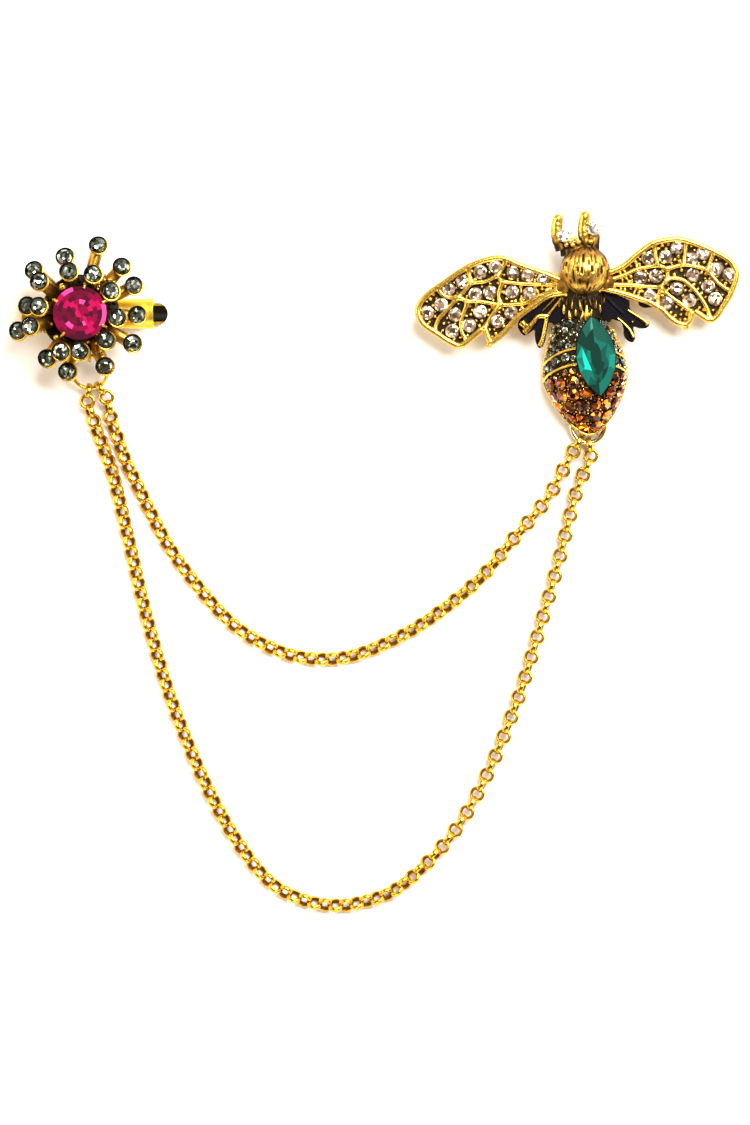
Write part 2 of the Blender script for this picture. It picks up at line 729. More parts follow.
def marquise():
    """The pointed green stone: the cut of a round one, drawn out to its outline of two arcs."""
    solid = np.vstack(loose_solids("marquise_stone"))
    middle, long, across, axis, half = girdle_of(solid)
    long = long * np.sign(-long[1])
    across = np.cross(axis, long)
    wide = np.ptp(solid @ across) / 2
    middle = middle + across * ((solid @ across).max() + (solid @ across).min() - 2 * middle @ across) / 2
    crown = MARQUISE_CROWN / half
    points, faces = brilliant(8, table=0.5, crown=crown, depth=crown, girdle=MARQUISE_GIRDLE / half)
    turn = np.arctan2(points[:, 1], points[:, 0])
    out = np.hypot(points[:, 0], points[:, 1])
    # A point keeps its share of the way out, along the arcs instead of along a circle
    u = np.cos(turn)
    aside = np.sign(np.sin(turn)) * arc_edge(u * half, half, wide) / half
    shaped = np.column_stack([out * u, out * aside, points[:, 2]])
    placed = middle + half * (shaped @ np.array([long, across, axis]))
    mesh = new_mesh("marquise_brilliant", (placed, faces), smooth=False)
    mark(mesh, "cut", np.column_stack([points[:, :2], np.full(len(points), 5.0)]))
    light = []
    for face in faces:
        x, y = points[face][:, :2].mean(axis=0)
        light.append(sum(
            strength * math.exp(-((x - along) / LIT_ALONG) ** 2 - ((y - beside) / LIT_ACROSS) ** 2)
            for along, beside, strength in LIT_FACETS))
    mesh.attributes.new("light", "FLOAT", "FACE").data.foreach_set("value", light)
    return new_piece("marquise_brilliant", mesh, green_stone, ["marquise_stone"])


marquise()

# %% [markdown]
# ## The bee's casting
#
# The real bee is one casting: a wax model with wings, veins, seats and grains, poured in metal, so every
# edge is a little soft and every joint is filled. Here plates, bars and beads are laid into each other in
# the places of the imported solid. A voxel remesh then melts them into one skin, as the metal does, and a
# few rounds of smoothing soften it. Bevels would be sharper, but they fail where this many edges meet.
#
# Each part of the casting marks its own recesses: the floor of a wing, the plates behind the wings, the
# skin between the stones. Those keep the black patina. Whatever stands over them is polished.

# %% Where things are on the bee

# The thorax's middle and radius, and one per cent of a wing's length: the tables below count in it
BEE = np.array([32.2, 44.8, 5.0]) * MM
THORAX_R = 3.7
UNIT = 0.215


def on_bee(x, y, z):
    """A place from the thorax's middle in mm, with its height over the surface."""
    return BEE * [1, 1, 0] + np.array([x, y, z]) * MM


print("the thorax is", 2 * THORAX_R, "mm across, and a wing is", round(100 * UNIT, 1), "mm long")

# %% Melting shapes together


def melted(name, shape, voxel):
    """One soft skin round closed shapes that touch, as a mesh."""
    rough = new_object(name + "_wax", new_mesh(name + "_wax", shape, smooth=True))
    fuse = rough.modifiers.new("fuse", "REMESH")
    fuse.mode = "VOXEL"
    fuse.voxel_size = voxel
    fuse.use_smooth_shade = True
    soften = rough.modifiers.new("soften", "SMOOTH")
    soften.factor = 0.5
    soften.iterations = 3
    done = bpy.data.meshes.new_from_object(rough.evaluated_get(bpy.context.evaluated_depsgraph_get()))
    bpy.data.objects.remove(rough)
    done.name = name
    return done


def read_points(mesh, field="co"):
    """The points of a mesh, or their normals."""
    values = np.empty(len(mesh.vertices) * 3, np.float32)
    mesh.vertices.foreach_get(field, values)
    return values.reshape(-1, 3).astype(float)


# %% Marking what is deep

# How many rounds of blending find the creases, and how much a crease of one mm adds to the mark
CREASE_ROUNDS, CREASE_GAIN = 6, 9
# The part of a normal that points up, above which a point faces up
FACES_UP = 0.1


def averaged(mesh, values, rounds):
    """Values on the points of a mesh, each blended with its neighbours' a few times."""
    ends = np.empty(len(mesh.edges) * 2, np.int32)
    mesh.edges.foreach_get("vertices", ends)
    a, b = ends.reshape(-1, 2).T
    n = len(values)
    count = 1 + np.bincount(a, minlength=n) + np.bincount(b, minlength=n)
    for _ in range(rounds):
        values = (values + np.bincount(a, values[b], n) + np.bincount(b, values[a], n)) / count
    return values


def creases(mesh):
    """How deep each point lies under the skin round it, in mm: above 0 in a crease, below 0 on an edge."""
    points, normals = read_points(mesh), read_points(mesh, "normal")
    level = np.column_stack([averaged(mesh, points[:, axis], CREASE_ROUNDS) for axis in range(3)])
    return ((level - points) * normals).sum(axis=1) / MM


def cast(name, shapes, voxel, deep, replaces=(), metal=antique_gold):
    """Melts shapes into a piece. The function deep says how deep points are, from their places in mm."""
    mesh = melted(name, joined(shapes), voxel)
    marks = deep((read_points(mesh) - BEE * [1, 1, 0]) / MM, read_points(mesh, "normal"))
    marks = averaged(mesh, np.clip(marks, 0, 1), 2)
    mark(mesh, "recess", np.clip(marks + creases(mesh) * CREASE_GAIN, 0, 1))
    return new_piece(name, mesh, metal, replaces)


print("helpers for castings: melted, read_points, averaged, creases, cast")

# %% [markdown]
# ## The wings
#
# A wing is a thin plate with a thick round rim and round veins, and its cells hold one to three stones
# each. Grains of metal stand between the stones, and crowd the narrow cells near the root.

# %% Tables of the wings, [towards the tip, up the page] in hundredths of the wing's length

LEFT = {
    "root": (-4.9, -2.4),
    "side": -1,
    "edges": [
        [(-9, 4), (6, 10), (16, 13.5), (26, 17), (35, 21), (46, 21), (63, 15), (81, 3), (92, -5),
         (98.5, -13.5), (99, -20), (95, -28), (85, -35), (76, -41), (67, -44), (57, -37), (51, -31.5)],
        [(51, -31.5), (49, -37), (47, -42)],
        [(47, -42), (43.5, -41), (35, -34), (26, -24), (12, -13.5), (3, -8), (-9, -6)]],
    "veins": [
        [(-2, 1), (20, 1.5), (37, 3.5), (41, 7), (49, 3.5), (59, 2), (64, -3), (69, -8), (77, -17),
         (83, -23.5), (86, -33)],
        [(41, 7), (37, 13.5), (35, 19.5)],
        [(62, 14), (61, 8), (59, 2)],
        [(84, 0), (81, -5.5), (76, -8), (69, -8)],
        [(37, 3.5), (40, -5.5), (38.5, -13.5)],
        [(69, -8), (62, -10.5), (53, -11), (38.5, -13.5), (29, -13), (21, -12), (14, -8), (-2, -3)],
        [(38.5, -13.5), (44.5, -20.5), (49, -28), (50.2, -30.3)],
        [(62, -11), (65, -19), (67, -26), (66, -33.5), (62, -40)]],
    "stones": "left_wing_stones",
}
RIGHT = {
    "root": (3.85, -1.5),
    "side": 1,
    "edges": [
        [(-9, 4), (7, 11), (16, 18.5), (27.5, 27), (35, 29.5), (46, 31), (56.5, 29), (71.5, 23), (83, 17),
         (88, 12), (91, 3), (86.5, -10.5), (81, -19.5), (76, -27), (70.5, -30), (65, -27.5), (58.5, -23)],
        [(58.5, -23), (57.5, -29), (53.5, -33.5)],
        [(53.5, -33.5), (47, -32), (40.5, -27.5), (35, -22), (25.5, -16.5), (19, -14.5), (6.5, -10.5),
         (-9, -7)]],
    "veins": [
        [(-2, 0), (8.5, 3.5), (19, 8), (34, 11)],
        [(29, 27), (31, 22), (32, 15.5), (34, 11), (39, 8), (40, 2), (36, -4), (33.5, -11.5), (33, -20)],
        [(39, 8), (51.5, 11), (62, 9.5), (68.5, 7), (75.5, -1), (83, -6.5), (87, -6.5)],
        [(53, 29.5), (53, 22), (51.5, 11)],
        [(73, 22), (72, 17), (68.5, 7)],
        [(38, -1), (44, 1.5), (51.5, 0), (58, -5.5), (63.5, -12), (68.5, -20.5), (70.5, -27.5)],
        [(35.5, -6), (42, -11.5), (49, -16.5), (55, -21.3), (57.2, -22.4)],
        [(-2, -3), (16, -3.5), (25.5, -4.5), (36, -5)]],
    "stones": "right_wing_stones",
}
print("veins in the wings:", len(LEFT["veins"]), "and", len(RIGHT["veins"]))

# %% Flat sums for laying out a wing


def distance_to(points, lines):
    """The distance from flat points to the nearest of some lines, all in the same units."""
    best = np.full(len(points), 1e9)
    for line in lines:
        for a, b in zip(line, line[1:]):
            along = b - a
            share = np.clip(((points - a) @ along) / (along @ along), 0, 1)
            best = np.minimum(best, np.linalg.norm(points - a - share[:, None] * along, axis=1))
    return best


def inside(points, outline):
    """Which flat points lie in an outline."""
    found = np.zeros(len(points), bool)
    x, y = points.T
    for (ax, ay), (bx, by) in zip(outline, np.roll(outline, -1, axis=0)):
        crossing = ax + (y - ay) * (bx - ax) / np.where(by == ay, 1e-9, by - ay)
        found ^= ((ay > y) != (by > y)) & (x < crossing)
    return found


def scattered(candidates, gaps):
    """Picks places in turn, each at least its own gap from those picked before."""
    picked = []
    for place, gap in zip(candidates, gaps):
        if all((place[0] - q[0]) ** 2 + (place[1] - q[1]) ** 2 > gap * gap for q in picked):
            picked.append(place)
    return picked


two_points = np.array([[0.2, 0.1], [2.0, 0.1]])
print("inside a triangle:", inside(two_points, np.array([[0, 0], [1, 0], [0, 1]])))

# %% Grains between the stones, sizes in mm

GRAIN_TRIES, GRAIN_R = 9000, (0.2, 0.32)
# How far a grain's middle keeps from a vein's or the rim's, and from a stone's
GRAIN_TO_LINE, GRAIN_TO_STONE = 0.55, 1.2
# Up to the first length from the root they stand the second apart, and beyond it the third
CROWDED_TO, CROWDED_GAP, OPEN_GAP = 6.2, 0.5, 0.68


def wing_grains(form, lines, outline):
    """Places for grains in a wing's cells, in mm from its root."""
    middles = np.array([girdle_of(solid)[0] for solid in loose_solids(form["stones"])])
    stones = ((middles - BEE)[:, :2] / MM - form["root"]) * [form["side"], 1]
    tries = np.array([(dice.uniform(0, 100), dice.uniform(-45, 32)) for _ in range(GRAIN_TRIES)]) * UNIT
    to_stone = np.linalg.norm(tries[:, None] - stones[None], axis=2).min(axis=1)
    clear = (distance_to(tries, lines) > GRAIN_TO_LINE) & (to_stone > GRAIN_TO_STONE)
    fits = tries[clear & inside(tries, outline)]
    return scattered(fits, np.where(fits[:, 0] < CROWDED_TO, CROWDED_GAP, OPEN_GAP))


# %% Building a wing

ROOT_Z, FALL = 3.9, math.sin(math.radians(2))
PLATE, RIM_R, VEIN_R, RIM_INSET = 0.7, 0.5, 0.36, 0.32
# Heights over the plate's underside of the middles of the rim, its ends, a vein and a grain
RIM_UP, RIM_END_UP, VEIN_UP, GRAIN_UP = 1.03, 0.9, 0.97, PLATE + 0.1
# A vein swells towards its ends, by this share and over this length
SWELL, SWELL_LEN = 0.6, 0.55
# Over the plate's underside, polish starts at the first height. The patina fades over the second below it
POLISHED_UP, FADE = 0.88, 0.14


def wing(name, form):
    """One wing of the bee."""
    root, side = np.array(form["root"]), form["side"]

    def lay(flat, height):
        """From the wing's own plane, in mm, to its place."""
        return np.array([
            on_bee(root[0] + side * s, root[1] + t, ROOT_Z - s * FALL + height)
            for s, t in np.atleast_2d(flat)])

    def deep(at, normal):
        """Dark on the floor of the cells and up to the grains' middles."""
        height = at[:, 2] - ROOT_Z + np.abs(at[:, 0] - root[0]) * FALL
        return np.clip((POLISHED_UP - height) / FADE, 0, 1) * (normal[:, 2] > FACES_UP)

    edges = [curve(np.array(e) * UNIT, 5) for e in form["edges"]]
    outline = np.vstack(edges)
    low, high = lay(outline, 0), lay(outline, PLATE)
    shapes = [prism(low[:, :2], low[:, 2], high[:, 2])]
    lines = []
    for edge in edges:
        ahead = np.gradient(edge, axis=0)
        inward = np.column_stack([ahead[:, 1], -ahead[:, 0]]) / np.linalg.norm(ahead, axis=1)[:, None]
        lines.append(edge + inward * RIM_INSET)
        shapes.append(bar(lay(lines[-1], RIM_UP), RIM_R * MM, sides=12))
        shapes.append(bead(lay(edge[-1], RIM_END_UP)[0], RIM_R * MM))
    for vein in form["veins"]:
        lines.append(curve(np.array(vein) * UNIT, 5))
        steps = np.linalg.norm(np.diff(lines[-1], axis=0), axis=1)
        gone = np.concatenate([[0], np.cumsum(steps)])
        to_end = np.minimum(gone, gone[-1] - gone)
        radii = VEIN_R * (1 + SWELL * np.exp(-((to_end / SWELL_LEN) ** 2)))
        shapes.append(bar(lay(lines[-1], VEIN_UP), radii * MM, sides=12))
    for place in wing_grains(form, lines, outline):
        shapes.append(bead(lay(place, GRAIN_UP)[0], dice.uniform(*GRAIN_R) * MM, sides=10))
    print(name, len(shapes), "shapes")
    return cast(name, shapes, 0.1 * MM, deep)


wing("bee_left_wing", LEFT)
wing("bee_right_wing", RIGHT)

# %% [markdown]
# ## The plates behind the wings
#
# Behind each wing a dark plate with two lobes joins the waist. Its ridges and the ends of the lobes are
# polished, and the rest is black with patina.

# %% Plates and ridges, in hundredths of the wing's length

HIND_PLATES = [
    [(-11.6, -11.6), (-21.4, -14.9), (-27.9, -19.5), (-36.7, -26), (-44.7, -32.6), (-48.8, -36.7),
     (-48.8, -41.4), (-46, -45.6), (-43.3, -46.3), (-39.5, -43.7), (-37.2, -42.6), (-37, -47.4),
     (-36, -52.1), (-33.7, -55.6), (-31.4, -53.5), (-29.3, -46.5), (-28.4, -39.5), (-26, -37.2),
     (-21.4, -38.6), (-11.6, -30.2)],
    [(7, -14), (14, -14), (23.3, -18.1), (30.2, -20.9), (31, -23.3), (31, -26.5), (33, -29.1), (37.7, -31.9),
     (44, -36.5), (44.9, -38.8), (42.6, -41.2), (37.7, -41.4), (33.7, -40.2), (34.4, -45.6), (34.9, -48.4),
     (33, -51.4), (29.3, -50), (26.7, -46.5), (26.3, -41.2), (24.7, -37), (20.9, -35.6), (18.1, -34.9),
     (15.8, -37.2), (7, -30.7)],
    [(36.7, -21.9), (37.7, -25.1), (41.4, -26.7), (45.6, -26.5), (49.8, -25.6), (49.8, -21.4)]]
# Ridges, [radius in mm at the start and at the end, path]
RIDGES = [
    [0.2, 0.12, [(-18.6, -15.6), (-25.6, -22.8), (-32.3, -29.8)]],
    [0.24, 0.48,
     [(-17.2, -18.8), (-23.3, -26.5), (-27.7, -32.5), (-29.1, -38.4), (-30.9, -47.9), (-33.2, -54)]],
    [0.42, 0.5, [(-28.4, -32.8), (-34.4, -32.8), (-37.7, -36.6), (-41.4, -40.7), (-44.7, -44.4)]],
    [0.6, 0.5, [(-46.5, -36.5), (-44, -39.6)]],
    [0.12, 0.08, [(12.3, -17.2), (18.6, -23.9), (25.7, -30.6)]],
    [0.14, 0.36, [(21.9, -33.5), (27.2, -38.3), (31, -42.6), (33.6, -47.9)]],
    [0.18, 0.38, [(29.3, -28.1), (35.3, -31.9), (41.6, -36), (43.9, -38.8)]]]
# A small knob on the right plate, in mm from the thorax's middle
KNOB, KNOB_R = (7.08, -7.86), 0.2
print(len(HIND_PLATES), "plates and", len(RIDGES), "ridges")

# %% Building the plates

HIND_LOW, HIND_TOP = 3.5, 4.25
# Over the plates' top, in mm: the ridges' middle lines, and where the polish starts
RIDGE_UP, RIDGE_POLISHED_UP = 0.03, 0.12
hind = []
for outline in HIND_PLATES:
    flat = [on_bee(x, y, 0)[:2] for x, y in curve(np.array(outline) * UNIT, 4)]
    hind.append(prism(flat, HIND_LOW * MM, HIND_TOP * MM))
for start, end, path in RIDGES:
    spine = [on_bee(x, y, HIND_TOP + RIDGE_UP) for x, y in curve(np.array(path) * UNIT, 5)]
    hind.append(bar(spine, np.linspace(start, end, len(spine)) * MM, sides=12))
hind.append(bead(on_bee(*KNOB, HIND_TOP), KNOB_R * MM))


def hind_deep(at, normal):
    """Dark on the plates, polished along the ridges."""
    return (at[:, 2] < HIND_TOP + RIDGE_POLISHED_UP) & (normal[:, 2] > FACES_UP)


cast("bee_hind_plates", hind, 0.09 * MM, hind_deep, metal=plate_gold)

# %% [markdown]
# ## The abdomen
#
# The abdomen is a turned form, cut flat at the back. Two narrow bands lean over it. Its skin is black
# between the stones, with grains of metal in the gaps and a thin polished rim along its edge.

# %% The abdomen's own frame

ABDOMEN_LEN, ABDOMEN_R, AXIS_Z, BACK_Z = 18.0, 6.65, 1.2, 2.2
# [share of the length from the waist, share of the radius]
ABDOMEN_PROFILE = np.array([
    (-0.24, 0.5), (-0.1, 0.56), (0.03, 0.66), (0.17, 0.8), (0.3, 0.92), (0.45, 1), (0.535, 0.975),
    (0.64, 0.87), (0.74, 0.735), (0.835, 0.565), (0.915, 0.36), (0.97, 0.18), (1, 0)])
WAIST = np.array([-0.9, -7.5])
# The bands, by the share of the length where they would cross the axis, and how much they lean forward
BANDS = [0.4, 0.535]
BAND_LEAN = 0.445


def heading(degrees):
    """The ways along and across a form that points down the page, turned by an angle."""
    turn = math.radians(degrees)
    return np.array([math.sin(turn), -math.cos(turn)]), np.array([math.cos(turn), math.sin(turn)])


DOWN, ASIDE = heading(4.9)


def skin_radius(share):
    """Radius of the abdomen at a share of its length."""
    return ABDOMEN_R * np.interp(share, ABDOMEN_PROFILE[:, 0], ABDOMEN_PROFILE[:, 1])


def on_skin(share, turn, out=0.0):
    """A place on the abdomen's skin, from the share of its length and the turn in degrees."""
    r = skin_radius(share) + out
    x, y = WAIST + DOWN * share * ABDOMEN_LEN + ASIDE * r * math.sin(math.radians(turn))
    return on_bee(x, y, AXIS_Z + r * math.cos(math.radians(turn)))


def lean(share, turn):
    """How far a band leans forward at a turn, as a share of the length."""
    return BAND_LEAN * skin_radius(share) * math.cos(math.radians(turn)) / ABDOMEN_LEN


print("the abdomen's tip, in mm:", [round(v / MM, 1) for v in on_skin(1, 0)])

# %% Room for the marquise

MARQUISE = np.array([1.4, -13.2])
MARQUISE_HALF, MARQUISE_WIDE = 6.1, 3.0
MARQUISE_DOWN, MARQUISE_ASIDE = heading(6.3)


def clear_of_marquise(place, room):
    """Whether a place is beside the green stone and its bezel."""
    flat = (place[:2] - BEE[:2]) / MM - MARQUISE
    along = flat @ MARQUISE_DOWN
    half, wide = MARQUISE_HALF + room, MARQUISE_WIDE + room
    return abs(flat @ MARQUISE_ASIDE) > wide - wide * (along / half) ** 2 or abs(along) > half


print("is the abdomen's tip clear of it:", bool(clear_of_marquise(on_skin(1, 0), 0.1)))

# %% Small smoky stones on the abdomen's upper part

CHIP_TRIES = 6000
# Shares of the length kept clear: to both sides of the first band, before the second one and after it
BESIDE_FIRST, BEFORE_SECOND, AFTER_SECOND = 0.034, 0.028, 0.045
large = [girdle_of(solid) for solid in solids_of(["orange_stones", "smoke_stones"])]
set_places = [(middle, radius) for middle, *_, radius in large]


def set_chip(chips, share, turn, r, sunk, room, gap):
    """Adds a small stone to a list, if it is clear of the marquise and of those set before. Sizes in mm."""
    place = on_skin(share, turn, -sunk)
    r *= MM
    if not clear_of_marquise(place, room):
        return
    if all(np.linalg.norm(place - middle) > r + other + gap * MM for middle, other in set_places):
        set_places.append((place, r))
        chips.append((place, r, unit(place - on_skin(share, turn, -2.0))))


def scatter_chips(name, chips, material):
    """A piece of small cut stones, each given as its place, radius and axis."""
    stones = []
    for place, r, axis in chips:
        facing = unit(np.cross(axis, [dice.uniform(-1, 1), 1, 0]))
        stones.append((place, r, axis, facing, dice.uniform(0, 90)))
    return cut_stones(name, stones, small_cut, material)


smoke_chips = []
for _ in range(CHIP_TRIES):
    share, turn = dice.uniform(-0.06, 0.5), dice.uniform(-76, 76)
    row = share + lean(share, turn)
    if abs(row - BANDS[0]) >= BESIDE_FIRST and row <= BANDS[1] - BEFORE_SECOND:
        set_chip(smoke_chips, share, turn, dice.uniform(0.36, 0.6), sunk=0.1, room=0.1, gap=0.08)
scatter_chips("smoke_chips", smoke_chips, chip_stone)

# %% Small orange stones between the larger ones

orange_chips = []
for _ in range(CHIP_TRIES):
    share, turn = dice.uniform(0.4, 0.97), dice.uniform(-72, 72)
    r = dice.uniform(0.42, 0.7)
    if share + lean(share, turn) >= BANDS[1] + AFTER_SECOND:
        set_chip(orange_chips, share, turn, r, sunk=0.12, room=0.15, gap=0.05)
scatter_chips("orange_chips", orange_chips, orange_stone)

# %% Skin, bands and rim, sizes in mm

SKIN_SINK, BAND_R, BAND_UP, EDGE_R, EDGE_Z = 0.22, 0.21, 0.02, 0.2, 2.55
# Turns in degrees at which the bands end and the rim and its row of grains run
BAND_END, EDGE_TURN, ROW_TURN = 80, 79, 72
GRAIN_SINK = 0.12
rings = []
for share in np.linspace(-0.2, 1, 60):
    ring = [on_skin(share, turn, -SKIN_SINK if share < 0.99 else 0) for turn in range(0, 360, 5)]
    rings.append([np.array([x, y, max(z, BACK_Z * MM)]) for x, y, z in ring])
abdomen = [skin(rings)]
for band in BANDS:
    spine = [on_skin(band - lean(band, turn), turn, BAND_UP) for turn in range(-BAND_END, BAND_END + 1, 4)]
    abdomen.append(bar(spine, BAND_R * MM))
edge = [on_skin(share, -EDGE_TURN) for share in np.linspace(0.1, 0.985, 40)]
edge += [on_skin(share, EDGE_TURN) for share in np.linspace(0.985, 0.1, 40)]
abdomen.append(bar([[x, y, EDGE_Z * MM] for x, y, _ in edge], EDGE_R * MM))
for side in (-1, 1):
    for share in np.arange(0.14, 0.97, 0.031):
        place = on_skin(share, side * ROW_TURN, -GRAIN_SINK)
        abdomen.append(bead(place, dice.uniform(0.2, 0.27) * MM, sides=10))
print(len(abdomen), "shapes in the abdomen before the grains")

# %% Grains on the abdomen

SKIN_GRAIN_TRIES = 5000
# The smallest gap between grains in mm: up to this share of the length, and beyond it
SPARSE_TO, SPARSE_GAP, DENSE_GAP = 0.47, 0.5, 0.12
grains = []
for _ in range(SKIN_GRAIN_TRIES):
    share, turn = dice.uniform(-0.05, 0.985), dice.uniform(-68, 68)
    place = on_skin(share, turn, -GRAIN_SINK)
    if not clear_of_marquise(place, 0.35):
        continue
    r = dice.uniform(0.15, 0.21) * MM
    # They crowd between the orange stones, and stand wider apart between the smoky ones
    apart = (DENSE_GAP if share > SPARSE_TO else SPARSE_GAP) * MM
    away = all(np.linalg.norm(place - middle) > 0.8 * r + other for middle, other in set_places)
    if away and all(np.linalg.norm(place - middle) > r + other + apart for middle, other in grains):
        grains.append((place, r))
        abdomen.append(bead(place, r, sides=10))
print(len(grains), "grains on the abdomen")


# Over the skin, polish starts at the first height, and the patina fades over the second below it
SKIN_POLISHED_UP, SKIN_FADE = 0.02, 0.12
# How much duller the upper part is, up to which share of the length, and where the patina starts
DULLER, DULL_TO, DARK_FROM_Z = 0.5, 0.5, 2.9


def abdomen_deep(at, normal):
    """Dark on the skin, polished on whatever stands over it, and duller on the upper part."""
    flat = at[:, :2] - WAIST
    share = flat @ DOWN / ABDOMEN_LEN
    over = np.hypot(flat @ ASIDE, at[:, 2] - AXIS_Z) - skin_radius(share)
    dull = DULLER * (share < DULL_TO) * (normal[:, 2] > FACES_UP)
    return np.clip((SKIN_POLISHED_UP - over) / SKIN_FADE + dull, 0, 1) * (at[:, 2] > DARK_FROM_Z)


cast("bee_abdomen", abdomen, 0.1 * MM, abdomen_deep, ["bee_body"])

# %% The marquise's bezel

BEZEL_HALF, BEZEL_WIDE, BEZEL_LOW, BEZEL_TOP = 6.2, 3.1, 3.0, 7.75
outline = []
for turn in turns_of(80):
    along = BEZEL_HALF * math.cos(turn)
    beside = math.copysign(arc_edge(along, BEZEL_HALF, BEZEL_WIDE), math.sin(turn))
    x, y = MARQUISE + MARQUISE_DOWN * along + MARQUISE_ASIDE * beside
    outline.append(on_bee(x, y, 0)[:2])
mesh = new_mesh("bee_bezel", prism(outline, BEZEL_LOW * MM, BEZEL_TOP * MM), smooth=False)
mark(mesh, "recess", np.ones(len(mesh.vertices)))
new_piece("bee_bezel", mesh, antique_gold)

# %% [markdown]
# ## Head, neck and fur
#
# Two stubby antennae stand over the head, each with a clear stone beside it. Below the thorax the neck is
# dark and streaked, and ends in a fringe of short pointed tufts.

# %% Antennae and eye cups, in mm from the thorax's middle and over the surface

ANTENNAE = [
    [(-3.8, 3.2, 4.9), (-4.45, 4.9, 5.1), (-4.6, 6.5, 5.25), (-4.4, 7.9, 5.35)],
    [(0.3, 3.4, 4.9), (-0.35, 5.1, 5.1), (-0.5, 6.7, 5.25), (-0.25, 8.35, 5.35)]]
EYES = [(-3.4, 5.4), (1.2, 6.4)]
# Shoulders under the wings' roots and lumps over the brow: [place, radius]
SHOULDERS = [((-3.2, -2.2, 4.4), 1.7), ((3.0, -1.8, 4.4), 1.55)]
LUMPS = [
    (-2.5, 4.5, 6.1), (-1.8, 4.9, 6.0), (-1.2, 4.3, 6.3), (-2.1, 3.9, 6.2), (0.6, 4.4, 6.1),
    (-3.1, 3.9, 5.9)]
LUMP_R = 0.42


def towards(degrees):
    """A flat arrow of length one, at a turn."""
    return np.array([math.cos(math.radians(degrees)), math.sin(math.radians(degrees))])


head = [bead(on_bee(-1.4, 2.8, 4.7), 1.7 * MM, sides=24)]
head.append(bar([on_bee(-4.0, 3.2, 4.7), on_bee(0.4, 3.5, 4.7)], 0.9 * MM))
for path in ANTENNAE:
    line = curve([on_bee(*at) for at in path], 5)
    radii = np.array([dice.uniform(0.84, 0.94) for _ in line]) * np.linspace(1.08, 0.98, len(line))
    head.append(bar(line, radii * MM, sides=16))
    head.append(bead(line[-1], 0.88 * MM, sides=20))
for x, y in EYES:
    cup = [on_bee(x, y, z) for z in (4.9, 5.7, 6.2)]
    head.append(bar(cup, np.array([0.8, 1.05, 1.12]) * MM, sides=24))
    head.append(bar([on_bee(x, y, 5.0), on_bee(x * 0.9, y - 3.2, 4.9)], 0.95 * MM))
    for turn in (20, 140, 220, 310):
        dx, dy = towards(turn) * 1.1
        claw = [on_bee(x + dx, y + dy, 5.9), on_bee(x + dx * 0.95, y + dy * 0.95, 6.5)]
        head.append(bar(claw, [0.24 * MM, 0.16 * MM]))
head += [bead(on_bee(*at), r * MM, sides=24) for at, r in SHOULDERS]
head += [bead(on_bee(*at), LUMP_R * MM) for at in LUMPS]
head.append(eyelet(on_bee(0.3, -21.35, 1.35)))
print(len(head), "shapes in the head")

# %% Neck and tufts

NECK_R, NECK_Z, NECK_X = 2.2, 3.5, -0.6


def neck_top(x):
    """Height of the neck's skin, which is that of two bars side by side."""
    aside = np.maximum(np.abs(np.asarray(x) - NECK_X) - 1.1, 0)
    return NECK_Z + np.sqrt(np.maximum(NECK_R**2 - aside**2, 0.5))


# Tufts of fur: [place across, start, tip, radius], in mm from the thorax's middle
TUFTS = [
    (-4.2, -4.2, -5.7, 0.22), (-3.5, -5.2, -6.8, 0.30), (-3.1, -4.3, -5.6, 0.18), (-2.7, -6.1, -7.7, 0.32),
    (-2.2, -4.6, -6.0, 0.20), (-1.7, -5.9, -7.1, 0.22), (-1.1, -4.5, -6.3, 0.24), (-0.6, -6.2, -7.8, 0.26),
    (0.0, -5.3, -7.9, 0.42), (0.5, -4.4, -5.6, 0.17), (0.8, -5.9, -7.3, 0.26), (1.5, -4.6, -6.0, 0.22),
    (2.1, -5.2, -6.5, 0.22), (2.8, -4.1, -5.3, 0.18)]
neck = []
for x in (NECK_X - 1.1, NECK_X + 1.1):
    spine = [on_bee(x, -1.8, NECK_Z), on_bee(x, -4.5, NECK_Z), on_bee(x, -7.2, NECK_Z - 0.1)]
    neck.append(bar(spine, NECK_R * MM, sides=28))
for x, start, tip, r in TUFTS:
    bent = dice.uniform(-0.5, 0.5)
    spine = []
    for s in np.linspace(0, 1, 9):
        spine.append(on_bee(x + bent * s * s, start + (tip - start) * s, neck_top(x) + 0.2 - 0.3 * s * s))
    thick = r * np.array([0.25, 0.4, 0.55, 0.7, 0.85, 1.0, 1.0, 0.8, 0.4])
    neck.append(bar(spine, thick * MM, sides=10))
# Fine hairs in front of the tufts
for k in range(26):
    x, start = -4.4 + k * 0.28 + dice.uniform(-0.08, 0.08), dice.uniform(-4.3, -3.3)
    reach = dice.uniform(0.9, 2.1)
    spine = [on_bee(x + dice.uniform(-0.1, 0.1), start - reach * s, neck_top(x) + 0.04) for s in (0, 0.5, 1)]
    neck.append(bar(spine, np.array([0.08, dice.uniform(0.1, 0.17), 0.06]) * MM, sides=8))
print(len(neck), "shapes in the neck")


def head_deep(at, normal):
    """Dark low down and on the neck, polished on top and along the tufts."""
    x, y, z = at.T
    front = y > 0
    head_top = 5.95 + 0.4 * np.clip(5.4 - y, 0, 1.5)
    fur_top = neck_top(x) + 0.32 + 0.25 * np.clip((y + 6.2) / 1.6, 0, 1)
    under = (np.where(front, head_top, fur_top) - z) / np.where(front, 1.0, 0.42)
    shoulder = 0.55 * (np.abs(x) > 2.6) * (np.abs(y + 2.0) < 2.2)
    return np.maximum(np.clip(under, 0, 1), shoulder) * (y > -19)


cast("bee_head", head + neck, 0.09 * MM, head_deep)

# %% [markdown]
# ## The thorax
#
# The round thorax carries engraved strokes that run from the head to the tail, like hair. They are real
# grooves here. A fine grid is wrapped round a ball with its poles at the head and the tail, and a stroke
# pushes its points inwards.

# %% Engraved strokes on a ball

